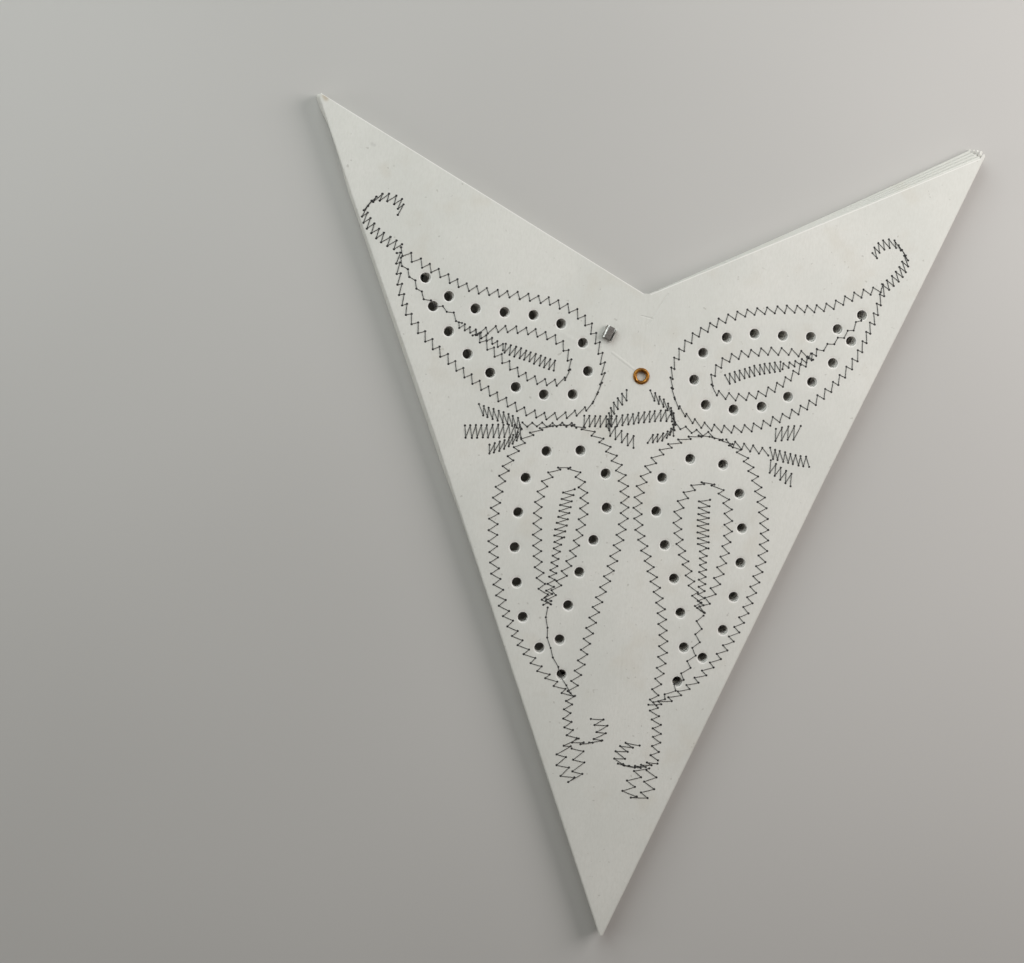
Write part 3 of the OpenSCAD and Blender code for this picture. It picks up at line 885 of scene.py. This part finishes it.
# %% [markdown]
# ## The metal pieces
# The eyelet is a drawn brass tube whose end is rolled outwards over the card, so its section is spun
# round its own axis. The crimp is a strip of tinned steel rolled round a mandrel and pressed flat, so the
# end of the rolled strip is extruded along the tube.

# %% Brass and tinned steel
def metal_material(name, light, dark, size, roughness, stretch):
    """Drawn metal: its tarnish dulls it in patches, and fine scratches stretch its glints along the draw."""
    m, tree, shader = new_material(name)
    place = millimetres(tree)
    stain = pattern(tree, place, size, 4, 0.6)
    lines = pattern(tree, place, 0.18, 3, 0.6, stretch)
    colour = mix(tree, span(tree, stain, 0.38, 0.68), light, dark)
    tree.links.new(colour, shader.inputs["Base Color"])
    shader.inputs["Metallic"].default_value = 1.0
    rough = maths(tree, "ADD", span(tree, stain, 0.3, 0.8, roughness, roughness + 0.2),
                  span(tree, lines, 0.4, 0.8, 0.0, 0.12))
    tree.links.new(rough, shader.inputs["Roughness"])
    bump = node(tree, "Bump", None, {"Height": lines}, Strength=0.35, Distance=0.00003)
    tree.links.new(bump.outputs[0], shader.inputs["Normal"])
    return m


# The brass has patches of about 1 mm. The rolled strip is scratched along its length.
BRASS = metal_material("antique_brass", "C08A45", "7A4F22", 1.1, 0.26, (1, 1, 1))
STEEL = metal_material("tinned_steel", "C9C8C4", "8F8D88", 1.6, 0.22, (0.15, 1.6, 1))
print("materials:", BRASS.name, STEEL.name)

# %% Eyelet
BORE = 1.65            # radius inside the barrel
BARREL = 1.9           # radius outside it
ROLL = (2.325, 0.675, 0.66)  # the rolled head: radius of its middle, half its width, and its height


def eyelet_section():
    """The eyelet's wall, as radius and height: up the bore, over the rolled head, down to the foot."""
    section = [(BORE, -0.62), (BORE, -0.3), (BORE, 0.05), (1.66, 0.2)]
    for i in range(1, 13):
        a = math.radians(165 - i * 165 / 12)
        section.append((ROLL[0] + ROLL[1] * math.cos(a), ROLL[2] * math.sin(a)))
    return section + [(2.85, 0.0), (BARREL, 0.0), (BARREL, -0.4), (2.5, -0.4), (2.6, -0.46), (2.55, -0.6),
                      (2.2, -0.69), (1.8, -0.7)]


def eyelet():
    """The section spun round the eyelet's axis, with the slight dents of the setting tool."""
    mesh = bmesh.new()
    wall = [mesh.verts.new((r, 0, z)) for r, z in eyelet_section()]
    lines = [mesh.edges.new(pair) for pair in zip(wall, wall[1:] + wall[:1])]
    bmesh.ops.spin(mesh, geom=wall + lines, cent=(0, 0, 0), axis=(0, 0, 1), angle=2 * math.pi, steps=72,
                   use_merge=True)
    for v in mesh.verts:
        a = math.atan2(v.co.y, v.co.x)
        dent = 1 + 0.006 * math.sin(3 * a + 0.5) + 0.004 * math.sin(7 * a)
        v.co.x, v.co.y = v.co.x * dent, v.co.y * dent
    bmesh.ops.recalc_face_normals(mesh, faces=mesh.faces[:])
    for v in mesh.verts:
        v.co = placed(1, v.co.x + EYELET[0], v.co.y + EYELET[1], v.co.z + RAY_H)
    obj = finished("brass_eyelet", mesh, BRASS, 50)
    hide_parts("cord_eyelet")
    print(obj.name, len(obj.data.polygons), "faces")


eyelet()

# %% Crimp
CRIMP_R = 1.15         # half the flattened tube's height
CRIMP_HALF = 1.0       # from its middle to the middle of each rounded side
CRIMP_WALL = 0.35
CRIMP_LONG = 4.6       # 0.6 mm longer and 0.3 mm wider than the solid's, as the real one looks
CRIMP_TURN = math.radians(-22)


def crimp_strip():
    """The strip's middle line, rolled from its seam at the right, under and round to the seam again."""
    middle = CRIMP_R - CRIMP_WALL / 2
    strip = []
    for i in range(13):
        a = math.radians(38 - i * 128 / 12)
        strip.append(Vector((CRIMP_HALF + middle * math.cos(a), middle * math.sin(a))))
    for i in range(1, 6):
        strip.append(Vector((CRIMP_HALF - 2 * CRIMP_HALF * i / 6, -middle)))
    for i in range(13):
        a = math.radians(270 - i * 180 / 12)
        strip.append(Vector((-CRIMP_HALF + middle * math.cos(a), middle * math.sin(a))))
    for i in range(1, 7):
        strip.append(Vector((-CRIMP_HALF + (2 * CRIMP_HALF + 0.1) * i / 6, middle)))
    return strip


def crimp():
    """The strip's cut end, drawn along the tube in stages, with both mouths pinched in a little."""
    strip = crimp_strip()
    mesh = bmesh.new()
    pairs = []
    for i, p in enumerate(strip):
        d = (strip[min(i + 1, len(strip) - 1)] - strip[max(i - 1, 0)]).normalized()
        side = Vector((-d.y, d.x)) * CRIMP_WALL / 2
        pairs.append([mesh.verts.new((q.x, -CRIMP_LONG / 2, q.y)) for q in (p + side, p - side)])
    end = [mesh.faces.new((a[0], b[0], b[1], a[1])) for a, b in zip(pairs, pairs[1:])]
    stations = [-0.5, -0.47, -0.25, 0.0, 0.25, 0.47, 0.5]
    for here, there in zip(stations, stations[1:]):
        drawn = bmesh.ops.extrude_face_region(mesh, geom=end)["geom"]
        if here > stations[0]:  # the strip's first end stays, and the ends between two stages go
            bmesh.ops.delete(mesh, geom=end, context="FACES")
        end = [g for g in drawn if isinstance(g, bmesh.types.BMFace)]
        moved = [g for g in drawn if isinstance(g, bmesh.types.BMVert)]
        bmesh.ops.translate(mesh, verts=moved, vec=(0, (there - here) * CRIMP_LONG, 0))
    for v in mesh.verts:
        if abs(v.co.y) > 0.46 * CRIMP_LONG:
            v.co.x, v.co.z = v.co.x * 0.98, v.co.z * 0.98
    bmesh.ops.recalc_face_normals(mesh, faces=mesh.faces[:])
    turn = Matrix.Rotation(CRIMP_TURN, 3, "Z")
    for v in mesh.verts:
        q = turn @ v.co
        v.co = placed(1, q.x + CRIMP[0], q.y + CRIMP[1], q.z + CRIMP_R + RAY_H)
    obj = finished("rolled_crimp", mesh, STEEL, 40)
    edges = obj.modifiers.new("soft edges", "BEVEL")
    edges.width = 0.00005
    edges.segments = 2
    edges.limit_method = "ANGLE"
    edges.angle_limit = math.radians(50)
    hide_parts("metal_crimp")
    print(obj.name, len(obj.data.polygons), "faces")


crimp()

# %% [markdown]
# ## Floor, light and camera
# The star lies on a plain pale floor. A large soft light stands beyond the wing tips, a little to the
# left, so the light falls off towards the closed tips. A weaker one from the right shows the folds at that
# side, and a small low one at the left keeps the folds there from going dark. The camera looks almost
# straight down from a little left of the star, as the outline's perspective shows.

# %% Floor
def floor():
    mesh = bmesh.new()
    bmesh.ops.create_grid(mesh, x_segments=4, y_segments=4, size=3.0)
    data = bpy.data.meshes.new("floor")
    mesh.to_mesh(data)
    mesh.free()
    m, tree, shader = new_material("pale_floor")
    place = millimetres(tree)
    colour = mix(tree, span(tree, pattern(tree, place, 300, 2), 0.3, 0.7), "BDBCB8", "C4C3BF")
    tree.links.new(colour, shader.inputs["Base Color"])
    shader.inputs["Roughness"].default_value = 0.85
    data.materials.append(m)
    obj = bpy.data.objects.new("floor", data)
    bpy.context.scene.collection.objects.link(obj)


floor()


# %% Lights and camera
def area_light(name, place, aim, size, power, code):
    data = bpy.data.lights.new(name, "AREA")
    data.shape = "DISK"
    data.size = size
    data.energy = power
    data.color = rgb(code)[:3]
    obj = bpy.data.objects.new(name, data)
    bpy.context.scene.collection.objects.link(obj)
    obj.location = place
    obj.rotation_euler = (Vector(aim) - Vector(place)).to_track_quat("-Z", "Y").to_euler()


area_light("cool_key", (-0.30, 0.45, 0.45), (0.0, 0.02, 0.0), 0.6, 2.45, "F6FEFF")
area_light("warm_side", (0.36, 0.20, 0.30), (0.03, 0.02, 0.0), 0.4, 1.7, "FFFAFA")
area_light("left_fill", (-0.60, 0.0, 0.22), (-0.05, 0.0, 0.0), 0.3, 0.5, "FFFFFF")

scene = bpy.context.scene
world = bpy.data.worlds.new("studio")
world.use_nodes = True
world.node_tree.nodes["Background"].inputs[0].default_value = rgb("FFF0E6")
world.node_tree.nodes["Background"].inputs[1].default_value = 0.13
scene.world = world
scene.view_settings.view_transform = "Standard"

camera_data = bpy.data.cameras.new("photo_camera")
camera_data.sensor_width = 36
camera_data.lens = 52.73
camera_data.clip_start = 0.01
camera = bpy.data.objects.new("photo_camera", camera_data)
scene.collection.objects.link(camera)
camera.location = (-0.0948, 0.0099, 0.5381)
camera.rotation_euler = tuple(math.radians(a) for a in (0.155, -5.525, 4.166))
scene.camera = camera
print("camera height", round(camera.location.z, 3), "m")
